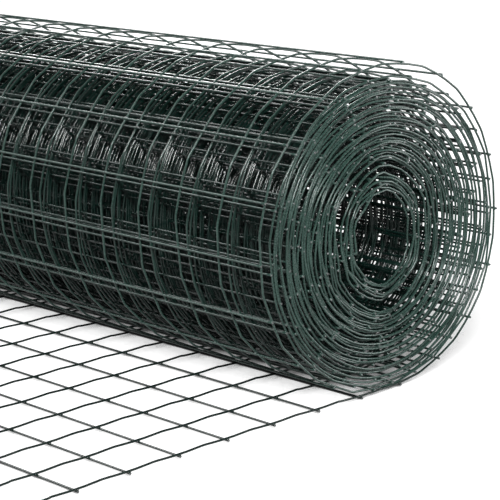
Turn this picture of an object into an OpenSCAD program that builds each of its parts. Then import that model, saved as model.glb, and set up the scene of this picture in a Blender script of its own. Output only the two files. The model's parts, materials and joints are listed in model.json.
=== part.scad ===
// Roll of welded wire fencing that lies on its side, with its free end drawn out flat.
// X runs along the roll, the free end is drawn out towards -Y, and Z is up.
// The origin is on the floor, under the middle of the whole thing.

/* [Mesh] */
// Spacing of the wires, centre to centre, both ways
mesh_pitch = 50; // [25:1:75]
// Meshes across the width of the sheet
meshes_wide = 20; // [10:1:30]
// Diameter of a wire over its coating
wire_d = 1.9; // [1.2:0.1:2.2]
// How far a weld sets one wire into the other
weld_set = 0.3; // [0.1:0.05:0.5]
// How far each wire stands out past the last wire that it crosses
wire_overhang = 1.5; // [1:0.5:10]
// Rise of the bend that a line wire has in the middle of each mesh
crimp_rise = 1; // [0.2:0.1:3]
// Flat sides of a wire's section
wire_sides = 6; // [6, 8, 10]

/* [Roll] */
// Outside diameter of the rolled part
roll_d = 274; // [220:1:400]
// Diameter of the bore that is left in the middle
bore_d = 76; // [40:1:120]
// Turns of the sheet between the bore and the outside
turns = 36; // [10:1:40]
// Depth of the groove between two turns on the ends
groove_depth = 3; // [1:0.5:8]
// Gap between the roll and the wires that it lies on
seat_gap = 0.2; // [0.1:0.05:0.5]

/* [Unrolled end] */
// Meshes of the sheet that lie flat in front of the roll
meshes_flat = 8; // [3:1:20]
// Meshes of the sheet that lie flat under the back of the roll
meshes_under = 1; // [1:1:2]
// How far behind the roll's lowest line the cross wire under it lies
cross_behind = 13; // [0:1:25]

/* [Hidden] */

roll_r = roll_d / 2;
bore_r = bore_d / 2;
turn_pitch = (roll_r - bore_r) / turns;
sheet_w = meshes_wide * mesh_pitch;
roll_len = sheet_w + wire_d;
half_mesh = mesh_pitch / 2;

// The cross wires lie on the floor, and the line wires are welded on top of them
cross_z = wire_d / 2;
line_z = cross_z + wire_d - weld_set;

// The sheet runs from under the back of the roll to its cut end in front
flat_reach = meshes_flat * mesh_pitch - cross_behind + wire_overhang;
roll_y = (flat_reach - roll_r) / 2;

// The roll lies as low as the bends of the line wires under it let it
crimp_slope = crimp_rise / half_mesh;
seat_samples = 100;
roll_z = seat_gap + max([for (i = [-seat_samples : seat_samples])
    let (ahead = i / seat_samples * half_mesh)
    line_z + wire_d / 2 + weld_distance(ahead) * crimp_slope + sqrt(roll_r ^ 2 - ahead ^ 2)]);

wire_green = [0.12, 0.24, 0.2];
roll_green = [0.16, 0.29, 0.25];

// Section of a wire, with one flat side underneath
function wire_section() =
    let (corner_r = wire_d / 2 / cos(180 / wire_sides))
    [for (side = [0 : wire_sides - 1])
        let (turn = -90 + (side + 0.5) * 360 / wire_sides)
        corner_r * [cos(turn), sin(turn)]];

// Distance to the nearest cross wire from a place so far ahead of the roll's lowest line
function weld_distance(ahead) =
    let (past = (ahead + cross_behind) % mesh_pitch)
    half_mesh - abs(half_mesh - (past < 0 ? past + mesh_pitch : past));

// Place of a cross wire along the sheet, counted forwards from the one under the roll
function row_y(row) = roll_y + cross_behind - row * mesh_pitch;

// Bends of a line wire as [y, z], low at each weld and high in the middle of each mesh
function line_wire_bends() =
    let (end_z = line_z + wire_overhang * crimp_slope)
    concat([[row_y(-meshes_under) + wire_overhang, end_z]],
        [for (bend = [-2 * meshes_under : 2 * meshes_flat])
            [row_y(bend / 2), line_z + (bend % 2 == 0 ? 0 : crimp_rise)]],
        [[row_y(meshes_flat) - wire_overhang, end_z]]);

// A wire that follows its bends, as one tube that is closed at both ends
module line_wire() {
    bends = line_wire_bends();
    last = len(bends) - 1;
    corners = [for (bend = bends) for (p = wire_section()) [p[0], bend[0], bend[1] + p[1]]];
    walls = [for (ring = [0 : last - 1]) for (side = [0 : wire_sides - 1])
        let (a = ring * wire_sides + side)
        let (b = ring * wire_sides + (side + 1) % wire_sides)
        [a, a + wire_sides, b + wire_sides, b]];
    start_cap = [for (side = [0 : wire_sides - 1]) side];
    end_cap = reversed([for (side = start_cap) last * wire_sides + side]);
    polyhedron(points = corners, faces = concat(walls, [start_cap, end_cap]), convexity = 4);
}

module cross_wire() {
    rotate([90, 0, 90])
        linear_extrude(height = sheet_w + 2 * wire_overhang, center = true)
            polygon(wire_section());
}

// Outline of one end from the bore outwards, with a ridge as wide as a wire for every turn
function end_outline(side) =
    let (ridge_x = side * roll_len / 2)
    let (groove_x = side * (roll_len / 2 - groove_depth))
    concat([[bore_r, groove_x]],
        [for (turn = [0 : turns - 1])
            let (ridge_r = bore_r + (turn + 0.5) * turn_pitch)
            for (corner = [
                [ridge_r - wire_d / 2, ridge_x],
                [ridge_r + wire_d / 2, ridge_x],
                [bore_r + (turn + 1) * turn_pitch, groove_x]])
                corner]);

function reversed(points) = [for (i = [len(points) - 1 : -1 : 0]) points[i]];

// The rolled sheet, turned as one solid round its bore
module roll() {
    color(roll_green)
        translate([0, roll_y, roll_z])
            rotate([0, 90, 0])
                rotate_extrude($fn = 96)
                    polygon(concat(end_outline(-1), reversed(end_outline(1))));
}

// The flat sheet of welded wires, one solid
module unrolled_end() {
    color(wire_green) {
        for (row = [-meshes_under : meshes_flat])
            translate([0, row_y(row), cross_z])
                cross_wire();
        for (column = [0 : meshes_wide])
            translate([column * mesh_pitch - sheet_w / 2, 0, 0])
                line_wire();
    }
}

roll();
unrolled_end();
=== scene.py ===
import json
import math

import bpy
import numpy as np
from mathutils import Matrix, Vector


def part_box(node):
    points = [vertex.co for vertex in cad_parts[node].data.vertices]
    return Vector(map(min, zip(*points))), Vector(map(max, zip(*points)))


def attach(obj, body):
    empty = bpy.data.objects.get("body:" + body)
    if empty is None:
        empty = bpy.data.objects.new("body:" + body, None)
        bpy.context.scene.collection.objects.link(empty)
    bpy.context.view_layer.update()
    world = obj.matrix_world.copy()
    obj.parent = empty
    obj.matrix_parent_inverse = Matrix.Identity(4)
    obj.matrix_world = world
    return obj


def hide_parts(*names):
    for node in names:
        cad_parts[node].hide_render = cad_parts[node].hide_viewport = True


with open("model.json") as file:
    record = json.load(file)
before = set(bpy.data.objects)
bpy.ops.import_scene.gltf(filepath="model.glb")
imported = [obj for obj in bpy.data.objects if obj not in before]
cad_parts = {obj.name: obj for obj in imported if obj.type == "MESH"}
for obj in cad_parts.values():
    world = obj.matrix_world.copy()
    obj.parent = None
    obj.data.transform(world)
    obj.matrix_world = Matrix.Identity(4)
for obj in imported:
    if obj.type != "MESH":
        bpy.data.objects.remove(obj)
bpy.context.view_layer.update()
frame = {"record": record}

MM = 0.001
WINDING_SEED = 36
rng = np.random.default_rng(WINDING_SEED)

# Sizes of the mesh
MESHES_WIDE = 20
MESHES_FLAT = 8
WIRE_D = 1.9 * MM
# How far a weld sets one wire into the other
WELD_SET = 0.3 * MM
# How far each wire stands out past the last wire that it crosses
WIRE_OVERHANG = 1.5 * MM
# How far behind the roll's lowest line the cross wire under it lies
CROSS_BEHIND = 13 * MM
# Rise of a line wire in the middle of each flat mesh, and of the flat end as a whole
CRIMP_RISE = 1.0 * MM
FLAT_BOW = 1.5 * MM

# Sizes that the frame gives
roll_low, roll_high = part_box("roll")
BORE = next(mount for mount in frame["record"]["mounts"] if mount["name"] == "bore")
ROLL_Y = BORE["pos_m"][1]
BORE_R = BORE["dims"]["r_mm"] * MM
SHEET_W = roll_high.x - roll_low.x - WIRE_D
MESH_PITCH = SHEET_W / MESHES_WIDE

# Places of the line wires along the roll
COLUMNS = np.linspace(-SHEET_W / 2, SHEET_W / 2, MESHES_WIDE + 1)
ALONG_ROLL = np.array([1.0, 0, 0])

# The cross wires lie on the floor, and the line wires are welded on top of them
CROSS_Z = WIRE_D / 2
WIRE_STEP = WIRE_D - WELD_SET
LINE_Z = CROSS_Z + WIRE_STEP

# The winding: turn 0 is where the flat end leaves the roll, underneath, and the last turn is in the bore
TURNS = 36
GUIDE_STEPS = 360

# Middle of the outer turns and of the innermost one, ahead of the bore and up, and the turns between
TIGHT_AHEAD = 4.8 * MM
TIGHT_UP = 136.5 * MM
CORE_AHEAD = 8 * MM
CORE_UP = 134.5 * MM
DRIFT_TURNS = (2, TURNS)

# The round turns end at the core turn, and the loose core begins one turn further in
CORE_TURN = 29
LAST_ROUND_R = 59 * MM
FIRST_CORE_R = 50 * MM
LAST_CORE_R = 0.92 * BORE_R

# Spacing of the welds along the smooth line of the winding, and the place of the first one
CELL_ARC = 0.993 * MESH_PITCH
FIRST_WELD = 14.6 * MM

# How far the outermost turn stands off the tight ones, in mm, by its share of the way round from underneath
SLACK_TURNS = (0, 0.15, 0.27, 0.42, 0.53, 0.68, 0.82, 0.93, 1.05)
SLACK_SIZES = (0, 6.0, 5.0, 9.2, 8.0, 10.3, 7.0, 3.0, 0)

# How far the next turns are eased out behind the roll, in mm, less on each one inwards
EASED_SHARES = (0, 0.12, 0.3, 0.45)
EASED_SIZES = (0, 2.0, 2.0, 0)
LAST_EASED_TURN = 14

# How much of its curve a line wire loses between two welds, in mm, because it is bent at each of them
KINK_TURNS = (0, 0.5, 0.62, 0.95, 1.5, 3)
KINK_SIZES = (0.8, 0.8, 1.7, 1.7, 1.2, 0.6)
LEAST_SAG = MM / 1000

# The inner turns lean towards a hexagon that stands on its point
CORE_CORNERS = 6
CORNER_TURN = 18
CORNER_SHARE = 0.3
CORE_STRETCH = 0.24

# Unevenness of the winding, with the turns over which it sets in, and how many of its waves go to a turn
RADIAL_WANDER = 0.36 * MM
RADIAL_TURNS = (0.9, 2)
AXIAL_WANDER = 0.3 * MM
COLUMN_WANDER = 0.6 * MM
SIDEWAYS_TURNS = (0, 1)
WELD_WANDER = 3 * MM
WELD_TURNS = (1, 3)
WANDER_WAVES = (0.61, 1.37, 2.29, 3.83, 6.71)

# Rings of a line wire in each mesh, as shares of it about the weld, and flat sides of a wire
FINE_SHARES = (-0.47, -0.42, -0.14, 0.14, 0.42, 0.47)
PLAIN_SHARES = (-0.42, -0.14, 0.14, 0.42)
FINE_SIDES = 8
PLAIN_SIDES = 6

# Places of the first rings of a cross wire from its ends
EDGE_RINGS = (0, 5 * MM, 14 * MM, 28 * MM)

# Weld beads: places of the rings from the middle, fatness at each of them, and half the size each way
BEAD_RINGS = (-1.0, -0.45, 0.45, 1.0)
BEAD_FATNESS = (0.45, 1.0, 1.0, 0.45)
BEAD_LENGTH = 1.5 * MM
BEAD_WIDTH = 1.35 * MM
BEAD_HEIGHT = 1.05 * MM
BEAD_SIDES = 6

# Dulling of the coat and painted light: most on the outermost turns and along the sheet's edges, which it
# paints lighter, less on each turn inwards, which leaves the inner turns dark as painted shade, and none on
# the flat end, which stays dark as painted shade
BLOOM_AND_PAINTED_LIGHT_EDGE = 9 * MM
BLOOM_AND_PAINTED_LIGHT_TURNS = 1.6
BLOOM_AND_PAINTED_LIGHT_START = (0, 0.2)

# Colours of the coat where it is clean, set dark as painted shade, and where it is dull, set lighter and
# greyer as painted sheen, and of bare wire ends
CLEAN_SHADED_DARK = (0.0015, 0.009, 0.0065, 1)
CLEAN_SHADED_LIGHT = (0.003, 0.020, 0.015, 1)
DULL_LIT_DARK = (0.009, 0.031, 0.024, 1)
DULL_LIT_LIGHT = (0.054, 0.116, 0.094, 1)
CUT_STEEL = (0.20, 0.21, 0.21, 1)

# Patches and grain of the coat
PATCH_SCALE = 45
PATCH_DETAIL = 3
PATCH_NOISE = (0.3, 0.7)
PATCH_DULLNESS = (0.55, 1.0)
GRAIN_SCALE = 700
GRAIN_DETAIL = 2
ROUGH_GRAIN = (0, 0.6)
COAT_ROUGHNESS = (0.18, 0.32)
COAT_SPECULAR = 0.62
GRAIN_STRENGTH = 0.25
GRAIN_DEPTH = 0.2 * MM

# Surroundings: the light that falls on everything, and a white backdrop on one side of a dimmer studio
WORLD_LIGHT = 0.07
WHITE = (1, 1, 1, 1)
DIM_STUDIO = 0.15
BACKDROP_WAY = (-0.74, 0.67, 0)
BACKDROP_EDGE = (0, 0.5)

# Floor, with its glow and how much of that the wires mirror
FLOOR_SIZE = 40
FLOOR_COLOUR = (0.35, 0.35, 0.35, 1)
FLOOR_GLOW = 1.0
MIRRORED_FLOOR = 0.4

# Shade on the floor behind the roll and close under it: its reach, and the open shares from dark to lit
SHADE_REACH = 0.4
SHADE_WAY = (0.42, -0.9, 0.05)
SHADE_OPEN = (0.54, 0.74)
CONTACT_REACH = 0.03
CONTACT_OPEN = (0.3, 0.6)

# Name of each lamp, its place, the point that it faces, its size and its power
LAMPS = (
    ("front", (1.9, -1.2, 1.5), (0.4, 0.1, 0.15), 0.5, 58),
    ("left", (-1.3, -0.9, 1.5), (0.2, 0.1, 0.15), 0.6, 13),
    ("end", (1.3, 1.4, 0.35), (0.5, 0.126, 0.14), 0.6, 11),
    ("back", (-1.5, 1.3, 1.0), (-0.2, 0.126, 0.15), 0.6, 20),
)

# The photo's camera
CAMERA_PLACE = (1.6496, -1.0676, 0.5282)
CAMERA_HEADING = 47.94
CAMERA_DOWN = 13.69
CAMERA_ROLL = -2.05
CAMERA_LENS = 147.0


# Path of the sheet


def smooth_steps(at, places, sizes):
    """Values between given sizes, eased at each of them."""
    places = np.asarray(places, float)
    sizes = np.asarray(sizes, float)
    after = np.clip(np.searchsorted(places, at), 1, len(places) - 1)
    share = np.clip((at - places[after - 1]) / (places[after] - places[after - 1]), 0, 1)
    eased = share * share * (3 - 2 * share)
    return sizes[after - 1] + eased * (sizes[after] - sizes[after - 1])


def setting_in(turn, turns):
    """Share that grows from 0 to 1 over a stretch of the winding."""
    return smooth_steps(turn, turns, (0, 1))


def wander(turn, size):
    """Slow uneven drift along the winding, different on every turn."""
    phases = rng.uniform(0, 2 * math.pi, len(WANDER_WAVES))
    waves = [np.sin(2 * math.pi * wave * turn + phase) for wave, phase in zip(WANDER_WAVES, phases)]
    return size * np.sum(waves, axis=0)


def corner_shape(angle):
    """Radius of a polygon that stands on its point, about 1."""
    step = 2 * math.pi / CORE_CORNERS
    off_edge = np.mod(angle - math.pi / 2, step) - step / 2
    polygon = math.cos(step / 2) / np.cos(off_edge)
    return polygon / polygon.mean()


def tight_radius(turn, angle):
    """Radius of an even winding, round outside and cornered in the core."""
    first_round_r = TIGHT_UP - LINE_Z
    round_r = first_round_r - (first_round_r - LAST_ROUND_R) * turn / CORE_TURN
    core_pitch = (FIRST_CORE_R - LAST_CORE_R) / (TURNS - CORE_TURN - 1)
    core_r = FIRST_CORE_R - core_pitch * (turn - CORE_TURN - 1)
    radius = round_r + setting_in(turn, (CORE_TURN, CORE_TURN + 1)) * (core_r - round_r)
    cornered = smooth_steps(turn, (CORNER_TURN, CORE_TURN + 1), (0, CORNER_SHARE))
    radius = radius * (1 + cornered * (corner_shape(angle) - 1))
    return radius * (1 - CORE_STRETCH * cornered * np.cos(2 * angle))


def eased_out(turn):
    """How far the turns under the outermost one stand off behind the roll."""
    eased = smooth_steps(np.mod(turn, 1), EASED_SHARES, EASED_SIZES) * MM
    return eased * np.where(turn < 1, 0, np.maximum(1 - turn / LAST_EASED_TURN, 0))


def wound_guide():
    """Smooth line of a line wire in the roll, as distances ahead of the bore and up from the floor."""
    turn = np.linspace(0, TURNS, TURNS * GUIDE_STEPS + 1)
    angle = -math.pi / 2 - 2 * math.pi * turn
    radius = tight_radius(turn, angle)
    radius = radius + smooth_steps(turn, SLACK_TURNS, SLACK_SIZES) * MM
    radius = radius + eased_out(turn)
    radius = radius + wander(turn, RADIAL_WANDER) * setting_in(turn, RADIAL_TURNS)
    drift = setting_in(turn, DRIFT_TURNS)
    ahead = TIGHT_AHEAD + drift * (CORE_AHEAD - TIGHT_AHEAD) + radius * np.cos(angle)
    up = TIGHT_UP + drift * (CORE_UP - TIGHT_UP) + radius * np.sin(angle)
    return turn, ahead, up


class SheetPath:
    """Centre line of the line wires, from the cut end in front to the innermost turn."""

    def __init__(self):
        turn, ahead, up = wound_guide()
        flat_reach = (MESHES_FLAT + 1) * MESH_PITCH - CROSS_BEHIND
        self.ahead = np.concatenate(([flat_reach], ahead))
        self.up = np.concatenate(([LINE_Z], up))
        self.turn = np.concatenate(([-1], turn))
        steps = np.hypot(np.diff(self.ahead), np.diff(self.up))
        self.arc = np.concatenate(([0], np.cumsum(steps))) - steps[0]
        self.welds = np.concatenate((self.flat_welds(), self.wound_welds()))
        middles = (self.welds[1:] + self.welds[:-1]) / 2
        cut_ends = (self.welds[0] - WIRE_OVERHANG, self.welds[-1] + WIRE_OVERHANG)
        self.bends = np.concatenate((cut_ends[:1], middles, cut_ends[1:]))
        loose = setting_in(self.turn, SIDEWAYS_TURNS)
        self.axial = wander(self.turn, AXIAL_WANDER) * loose
        self.columns = [wander(self.turn, COLUMN_WANDER) * loose for column in COLUMNS]

    def flat_welds(self):
        """Places of the cross wires on the flat end, before the start of the winding."""
        rows = np.arange(MESHES_FLAT, 0, -1)
        return TIGHT_AHEAD - (rows * MESH_PITCH - CROSS_BEHIND)

    def wound_welds(self):
        """Places of the cross wires along the winding."""
        welds = np.arange(FIRST_WELD, self.arc[-1] - CELL_ARC, CELL_ARC)
        turns = self.turn_at(welds)
        return welds + wander(turns, WELD_WANDER) * setting_in(turns, WELD_TURNS)

    def at(self, arc):
        """Places on the smooth line, ahead of the bore and up from the floor."""
        return np.stack((np.interp(arc, self.arc, self.ahead), np.interp(arc, self.arc, self.up)), -1)

    def turn_at(self, arc):
        return np.interp(arc, self.arc, self.turn)

    def sheet_shift(self, arc):
        """How far the whole sheet lies off its place along the roll."""
        return np.interp(arc, self.arc, self.axial)

    def column_shifts(self, arc):
        """How far each line wire lies off its place in the sheet."""
        return np.stack([np.interp(arc, self.arc, column) for column in self.columns])

    def outward(self, arc):
        """Unit vectors across the path, away from the middle of the roll."""
        along = self.at(arc + MM) - self.at(arc - MM)
        along /= np.linalg.norm(along, axis=-1, keepdims=True)
        return np.stack((-along[..., 1], along[..., 0]), -1)

    def flat_rise(self, weld, arc):
        """How far a line wire of the flat end is lifted by its crimp and by the bow of the sheet."""
        crimp = CRIMP_RISE * np.abs(arc - weld) / (CELL_ARC / 2)
        bow = FLAT_BOW * np.sin(math.pi * np.clip(arc / self.welds[0], 0, 1))
        return np.where(arc < 0, crimp + bow, 0)

    def place(self, cell, arc):
        """Places on the bent line wire, each in the mesh of the weld that it belongs to."""
        weld, before, after = self.welds[cell], self.bends[cell], self.bends[cell + 1]
        curved = self.at(arc)
        start, end = self.at(before), self.at(after)
        straight = start + (end - start) * ((arc - before) / (after - before))[:, None]
        sag = np.linalg.norm(self.at(weld) - (start + end) / 2, axis=-1)
        kink = np.minimum(sag, MM * smooth_steps(self.turn_at(weld), KINK_TURNS, KINK_SIZES))
        share = (kink / np.maximum(sag, LEAST_SAG))[:, None]
        bent = curved + share * (straight - curved) + self.outward(arc) * kink[:, None] / 2
        bent[:, 1] += self.flat_rise(weld, arc)
        bent[:, 1] = np.maximum(bent[:, 1], LINE_Z)
        return bent

    def stations(self, cells, shares):
        """Mesh and arc of each ring over a run of meshes. Shares run from -0.5 to 0.5 about a weld."""
        cell = np.concatenate((cells[:1], np.repeat(cells, len(shares)), cells[-1:]))
        share = np.concatenate(([-0.5], np.tile(shares, len(cells)), [0.5]))
        before = self.welds[cell] - self.bends[cell]
        after = self.bends[cell + 1] - self.welds[cell]
        return cell, self.welds[cell] + 2 * share * np.where(share < 0, before, after)


# Wire meshes


def set_all(items, name, values, kind):
    """Sets one property of all vertices, corners or faces at once."""
    items.foreach_set(name, values.astype(kind).reshape(-1))


class WireMesh:
    """Collects closed tubes and joins them into one mesh with its own map."""

    MAP_MARGIN = 0.08
    MAP_ASPECT = 2.4

    def __init__(self):
        self.points, self.blooms, self.walls, self.caps = [], [], [], []
        self.count = 0

    def add_tubes(self, centres, across, beside, radius, sides, bloom, cut):
        """Tubes of one row of rings each. across and beside span the section, and cut marks the ends."""
        tubes, rings = centres.shape[:2]
        turn = 2 * math.pi * (np.arange(sides) + 0.5) / sides
        section = np.cos(turn)[:, None] * across[..., None, :]
        section = section + np.sin(turn)[:, None] * beside[..., None, :]
        points = centres[:, :, None, :] + np.reshape(radius, (-1, 1, 1)) * section
        self.points.append(points.reshape(-1, 3))
        self.blooms.append(np.repeat(np.broadcast_to(bloom, (tubes, rings)).reshape(-1), sides))
        ring = np.arange(tubes * rings * sides).reshape(tubes, rings, sides) + self.count
        near, far = ring[:, :-1], ring[:, 1:]
        walls = np.stack((near, np.roll(near, -1, 2), np.roll(far, -1, 2), far), -1)
        self.walls.append(walls.reshape(-1, sides, 4))
        self.caps.append((ring[:, 0, ::-1], cut[0]))
        self.caps.append((ring[:, -1, :], cut[1]))
        self.count += tubes * rings * sides

    def map_corners(self):
        """Corners on the map: every stretch of wall, and every cap, has a small box of its own."""
        shapes = [(len(wall), self.wall_box(wall.shape[1])) for wall in self.walls]
        shapes += [(len(cap), self.cap_box(cap.shape[1])) for cap, cut in self.caps]
        boxes = sum(count for count, shape in shapes)
        rows = math.ceil(math.sqrt(boxes * self.MAP_ASPECT))
        columns = math.ceil(boxes / rows)
        corners, first = [], 0
        for count, shape in shapes:
            box = np.arange(first, first + count)
            low = np.stack((box % columns, box // columns), -1)[:, None, :]
            inset = self.MAP_MARGIN + (1 - 2 * self.MAP_MARGIN) * shape
            corners.append(((low + inset[None]) / (columns, rows)).reshape(-1, 2))
            first += count
        return np.concatenate(corners)

    @staticmethod
    def wall_box(sides):
        """Corners of a stretch of wall in its box, side by side."""
        side = np.arange(sides)[:, None]
        along = np.broadcast_to(np.array([0, 0, 1, 1]), (sides, 4))
        around = (side + np.array([0, 1, 1, 0])) / sides
        return np.stack((along, around), -1).reshape(-1, 2)

    @staticmethod
    def cap_box(sides):
        """Corners of a cap in its box, round the middle."""
        turn = 2 * math.pi * np.arange(sides) / sides
        return 0.5 + 0.5 * np.stack((np.cos(turn), np.sin(turn)), -1)

    def build(self, name, material):
        """The finished piece, with smooth walls and flat caps."""
        walls = np.concatenate([wall.reshape(-1, 4) for wall in self.walls])
        loops = np.concatenate([walls.reshape(-1)] + [cap.reshape(-1) for cap, cut in self.caps])
        cap_sizes = [np.full(len(cap), cap.shape[1]) for cap, cut in self.caps]
        cap_cuts = [np.full(len(cap), cut) for cap, cut in self.caps]
        sizes = np.concatenate([np.full(len(walls), 4)] + cap_sizes)
        cuts = np.concatenate([np.zeros(len(walls))] + cap_cuts)
        starts = np.concatenate(([0], np.cumsum(sizes)[:-1]))
        mesh = bpy.data.meshes.new(name)
        mesh.vertices.add(self.count)
        mesh.loops.add(len(loops))
        mesh.polygons.add(len(sizes))
        set_all(mesh.vertices, "co", np.concatenate(self.points), np.float32)
        set_all(mesh.loops, "vertex_index", loops, np.int32)
        set_all(mesh.polygons, "loop_start", starts, np.int32)
        mesh.update(calc_edges=True)
        set_all(mesh.polygons, "use_smooth", np.arange(len(sizes)) < len(walls), bool)
        cut_end = mesh.attributes.new("cut_end", "FLOAT", "FACE")
        set_all(cut_end.data, "value", cuts, np.float32)
        # Share of dull coat at each point, which also paints the outer turns and edges lighter and leaves
        # the inner turns and flat end dark as painted shade
        bloom = mesh.attributes.new("bloom", "FLOAT", "POINT")
        set_all(bloom.data, "value", np.concatenate(self.blooms), np.float32)
        bake_map = mesh.uv_layers.new(name="OFBake")
        set_all(bake_map.uv, "vector", self.map_corners(), np.float32)
        mesh.materials.append(material)
        mesh.validate()
        piece = bpy.data.objects.new(name, mesh)
        bpy.context.scene.collection.objects.link(piece)
        return piece


def in_row_frame(x, section):
    """Places in the row frame from a place along the roll and places in its section."""
    x, ahead, up = np.broadcast_arrays(x, section[..., 0], section[..., 1])
    return np.stack((x, ROLL_Y - ahead, up), -1)


def across_row_frame(section):
    """Directions in the row frame from directions in the roll's section."""
    return np.stack((np.zeros(section.shape[:-1]), -section[..., 0], section[..., 1]), -1)


def bloom_and_painted_light_at(x, turn):
    """How dull the coat is and how much painted light it gets, from 0 to 1: high on the outer turns and
    edges, low as painted shade on the inner turns and the flat end.
    """
    from_edge = np.maximum(SHEET_W / 2 - np.abs(x), 0)
    edge = np.exp(-from_edge / BLOOM_AND_PAINTED_LIGHT_EDGE)
    outside = np.exp(-np.maximum(turn - 1, 0) / BLOOM_AND_PAINTED_LIGHT_TURNS)
    return np.maximum(edge, outside) * setting_in(turn, BLOOM_AND_PAINTED_LIGHT_START)


def add_line_wires(wires, path, cells, shares, sides):
    """The wires that run round the roll, bent at each weld."""
    cell, arc = path.stations(cells, shares)
    x = COLUMNS[:, None] + path.column_shifts(arc) + path.sheet_shift(arc)
    centres = in_row_frame(x, path.place(cell, arc))
    across = np.broadcast_to(across_row_frame(path.outward(arc)), centres.shape)
    beside = np.broadcast_to(ALONG_ROLL, centres.shape)
    bloom = bloom_and_painted_light_at(x, path.turn_at(arc))
    cut = (cells[0] == 0, cells[-1] == len(path.welds) - 1)
    wires.add_tubes(centres, across, beside, WIRE_D / 2, sides, bloom, cut)


def add_cross_wires(wires, path, cells, sides):
    """The straight wires along the roll, welded to the outside of the line wires."""
    arc = path.welds[cells]
    outward = path.outward(arc)
    place = path.place(cells, arc) + outward * WIRE_STEP
    reach = SHEET_W / 2 + WIRE_OVERHANG
    near_edge = reach - np.array(EDGE_RINGS)
    along = np.concatenate((-near_edge, COLUMNS[1:-1], near_edge[::-1]))
    x = along[None, :] + path.sheet_shift(arc)[:, None]
    centres = in_row_frame(x, place[:, None, :])
    across = np.broadcast_to(across_row_frame(outward)[:, None, :], centres.shape)
    beside = np.cross(ALONG_ROLL, across)
    bloom = bloom_and_painted_light_at(x, path.turn_at(arc)[:, None])
    wires.add_tubes(centres, across, beside, WIRE_D / 2, sides, bloom, (True, True))


def add_weld_beads(wires, path, cells, columns):
    """Small swellings of the coat where two wires are welded."""
    weld_arc = path.welds[cells]
    outward = path.outward(weld_arc)
    place = path.place(cells, weld_arc) + outward * WIRE_STEP / 2
    x = COLUMNS[columns][:, None] + path.column_shifts(weld_arc)[columns] + path.sheet_shift(weld_arc)
    middle = in_row_frame(x, place).reshape(-1, 1, 3)
    high = np.broadcast_to(across_row_frame(outward), (len(columns), len(cells), 3)).reshape(-1, 1, 3)
    along = np.cross(high, ALONG_ROLL)
    rings = np.array(BEAD_RINGS)[None, :, None] * BEAD_LENGTH
    centres = middle + rings * along
    across = np.broadcast_to(high * BEAD_HEIGHT, centres.shape)
    beside = np.broadcast_to(ALONG_ROLL * BEAD_WIDTH, centres.shape)
    bloom = bloom_and_painted_light_at(x, path.turn_at(weld_arc)).reshape(-1, 1)
    wires.add_tubes(centres, across, beside, BEAD_FATNESS, BEAD_SIDES, bloom, (False, False))


# Materials


def set_or_link(tree, socket, value):
    if isinstance(value, bpy.types.NodeSocket):
        tree.links.new(value, socket)
    else:
        socket.default_value = value


def add_node(tree, kind, settings=None, **inputs):
    """A new node with its settings made, and its inputs set or linked by name."""
    node = tree.nodes.new(kind)
    for name, value in (settings or {}).items():
        setattr(node, name, value)
    for name, value in inputs.items():
        set_or_link(tree, node.inputs[name], value)
    return node


def mixed_colour(tree, share, first, second):
    node = add_node(tree, "ShaderNodeMix", {"data_type": "RGBA"}, Factor=share, A=first, B=second)
    return node.outputs["Result"]


def ranged(tree, value, given, wanted):
    """A value moved from the range that it has to the range that is wanted."""
    node = add_node(tree, "ShaderNodeMapRange", Value=value)
    for name, number in zip(("From Min", "From Max", "To Min", "To Max"), given + wanted):
        node.inputs[name].default_value = number
    return node.outputs["Result"]


def calculated(tree, operation, first, second):
    node = add_node(tree, "ShaderNodeMath", {"operation": operation, "use_clamp": True})
    set_or_link(tree, node.inputs[0], first)
    set_or_link(tree, node.inputs[1], second)
    return node.outputs["Value"]


def noise(tree, where, scale, detail):
    node = add_node(tree, "ShaderNodeTexNoise", Vector=where, Scale=scale, Detail=detail)
    return node.outputs["Fac"]


def coated_wire_material():
    """Green plastic coat, dulled in patches where it is rubbed and dusty, with painted light that makes the
    outer turns and the sheet's edges lighter and painted shade that makes the inner turns and the flat end
    dark, and bare steel at the cut ends.
    """
    material = bpy.data.materials.new("green_plastic_coat")
    material.use_nodes = True
    tree = material.node_tree
    shader = tree.nodes["Principled BSDF"]
    where = add_node(tree, "ShaderNodeTexCoord").outputs["Object"]
    bloom = add_node(tree, "ShaderNodeAttribute", {"attribute_name": "bloom"}).outputs["Fac"]
    cut = add_node(tree, "ShaderNodeAttribute", {"attribute_name": "cut_end"}).outputs["Fac"]
    patches = noise(tree, where, PATCH_SCALE, PATCH_DETAIL)
    grain = noise(tree, where, GRAIN_SCALE, GRAIN_DETAIL)
    # Clean coat, dark as painted shade, and dull coat, lighter and greyer as painted sheen
    clean_and_shaded = mixed_colour(tree, grain, CLEAN_SHADED_DARK, CLEAN_SHADED_LIGHT)
    dull_and_lit = mixed_colour(tree, grain, DULL_LIT_DARK, DULL_LIT_LIGHT)
    # Share of dull coat: painted light where it is high, painted shade where it is low
    patchy_bloom_and_light = calculated(tree, "MULTIPLY", bloom, ranged(tree, patches, PATCH_NOISE, PATCH_DULLNESS))
    coat = mixed_colour(tree, patchy_bloom_and_light, clean_and_shaded, dull_and_lit)
    tree.links.new(mixed_colour(tree, cut, coat, CUT_STEEL), shader.inputs["Base Color"])
    roughness = ranged(tree, calculated(tree, "MULTIPLY", grain, patchy_bloom_and_light), ROUGH_GRAIN, COAT_ROUGHNESS)
    tree.links.new(roughness, shader.inputs["Roughness"])
    tree.links.new(cut, shader.inputs["Metallic"])
    shader.inputs["Specular IOR Level"].default_value = COAT_SPECULAR
    bump = add_node(tree, "ShaderNodeBump", Height=grain, Strength=GRAIN_STRENGTH, Distance=GRAIN_DEPTH)
    tree.links.new(bump.outputs["Normal"], shader.inputs["Normal"])
    return material


# Stage


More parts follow.
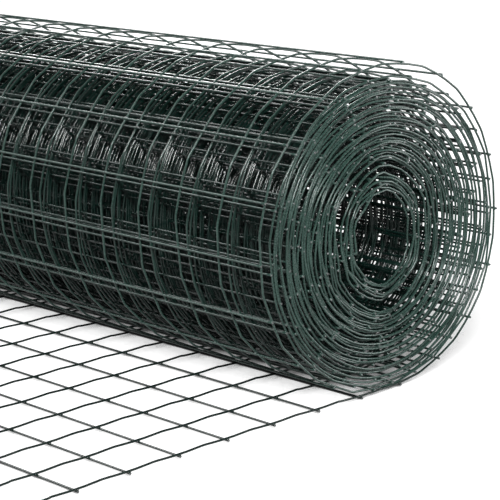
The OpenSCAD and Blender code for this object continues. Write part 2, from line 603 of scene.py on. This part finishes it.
def seen_or_mirrored(tree, mirrored_share):
    """1 for what the camera sees, a share in reflections and through clear things, and 0 otherwise."""
    path = add_node(tree, "ShaderNodeLightPath").outputs
    mirrored = calculated(tree, "MAXIMUM", path["Is Glossy Ray"], path["Is Transmission Ray"])
    shown = calculated(tree, "MULTIPLY", mirrored, mirrored_share)
    return calculated(tree, "MAXIMUM", path["Is Camera Ray"], shown)


def add_world():
    """White where the camera looks, and a white backdrop in a dimmer studio for the reflections."""
    world = bpy.data.worlds.new("studio")
    bpy.context.scene.world = world
    world.use_nodes = True
    tree = world.node_tree
    background = tree.nodes["Background"]
    background.inputs["Color"].default_value = WHITE
    way = add_node(tree, "ShaderNodeTexCoord").outputs["Generated"]
    facing = add_node(tree, "ShaderNodeVectorMath", {"operation": "DOT_PRODUCT"})
    set_or_link(tree, facing.inputs[0], way)
    set_or_link(tree, facing.inputs[1], BACKDROP_WAY)
    backdrop = ranged(tree, facing.outputs["Value"], BACKDROP_EDGE, (DIM_STUDIO, 1))
    strength = calculated(tree, "MAXIMUM", seen_or_mirrored(tree, backdrop), WORLD_LIGHT)
    tree.links.new(strength, background.inputs["Strength"])


def pale_floor_material():
    """Matt floor that glows white for the camera, apart from the shade by the roll."""
    material = bpy.data.materials.new("pale_floor")
    material.use_nodes = True
    tree = material.node_tree
    tree.nodes.remove(tree.nodes["Principled BSDF"])
    matt = add_node(tree, "ShaderNodeBsdfDiffuse", Color=FLOOR_COLOUR)
    x, y, z = SHADE_WAY
    lit_from = add_node(tree, "ShaderNodeCombineXYZ", X=x, Y=y, Z=z).outputs["Vector"]
    beside = add_node(tree, "ShaderNodeAmbientOcclusion", Distance=SHADE_REACH, Normal=lit_from)
    above = add_node(tree, "ShaderNodeAmbientOcclusion", Distance=CONTACT_REACH)
    lit = ranged(tree, beside.outputs["AO"], SHADE_OPEN, (0, 1))
    free = ranged(tree, above.outputs["AO"], CONTACT_OPEN, (0, FLOOR_GLOW))
    unshaded = calculated(tree, "MULTIPLY", free, lit)
    strength = calculated(tree, "MULTIPLY", seen_or_mirrored(tree, MIRRORED_FLOOR), unshaded)
    glow = add_node(tree, "ShaderNodeEmission", Strength=strength)
    both = add_node(tree, "ShaderNodeAddShader")
    tree.links.new(matt.outputs["BSDF"], both.inputs[0])
    tree.links.new(glow.outputs["Emission"], both.inputs[1])
    tree.links.new(both.outputs["Shader"], tree.nodes["Material Output"].inputs["Surface"])
    return material


def add_floor():
    bpy.ops.mesh.primitive_plane_add(size=FLOOR_SIZE, location=(0, 0, 0))
    floor = bpy.context.object
    floor.name = "floor"
    floor.data.materials.append(pale_floor_material())


def add_lamp(name, place, aim, size, power):
    light = bpy.data.lights.new(name, "AREA")
    light.size = size
    light.energy = power
    lamp = bpy.data.objects.new(name, light)
    bpy.context.scene.collection.objects.link(lamp)
    lamp.location = place
    lamp.rotation_euler = (Vector(aim) - Vector(place)).to_track_quat("-Z", "Y").to_euler()


def add_camera():
    data = bpy.data.cameras.new("camera")
    data.lens = CAMERA_LENS
    camera = bpy.data.objects.new("camera", data)
    bpy.context.scene.collection.objects.link(camera)
    heading = Matrix.Rotation(math.radians(CAMERA_HEADING), 4, "Z")
    down = Matrix.Rotation(math.radians(90 - CAMERA_DOWN), 4, "X")
    roll = Matrix.Rotation(math.radians(CAMERA_ROLL), 4, "Z")
    camera.matrix_world = Matrix.Translation(CAMERA_PLACE) @ heading @ down @ roll
    bpy.context.scene.camera = camera


# Scene
bpy.context.scene.view_settings.view_transform = "Standard"
add_camera()
add_world()
add_floor()
for lamp in LAMPS:
    add_lamp(*lamp)

# Line wires that show their weld beads
ALL_COLUMNS = np.arange(MESHES_WIDE + 1)
EDGE_COLUMNS = np.array([0, MESHES_WIDE])

# Name, first turn, turn that it ends before, rings, sides, columns with beads, and the node it stands for
PIECES = (
    ("free_end", -1, 0, FINE_SHARES, FINE_SIDES, ALL_COLUMNS, "unrolled_end"),
    ("outer_turns", 0, 2, FINE_SHARES, FINE_SIDES, ALL_COLUMNS, "roll"),
    ("turns_3_to_9", 2, 9, PLAIN_SHARES, PLAIN_SIDES, EDGE_COLUMNS, "roll"),
    ("turns_10_to_17", 9, 17, PLAIN_SHARES, PLAIN_SIDES, EDGE_COLUMNS, "roll"),
    ("turns_18_to_27", 17, 27, PLAIN_SHARES, PLAIN_SIDES, EDGE_COLUMNS, "roll"),
    ("turns_28_to_36", 27, TURNS + 1, PLAIN_SHARES, PLAIN_SIDES, EDGE_COLUMNS, "roll"),
)

coat = coated_wire_material()
path = SheetPath()
weld_turns = path.turn_at(path.welds)
for name, first, last, shares, sides, columns, node in PIECES:
    cells = np.flatnonzero((weld_turns >= first) & (weld_turns < last))
    wires = WireMesh()
    add_line_wires(wires, path, cells, shares, sides)
    add_cross_wires(wires, path, cells, sides)
    add_weld_beads(wires, path, cells, columns)
    piece = wires.build(name, coat)
    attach(piece, "root")
    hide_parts(node)
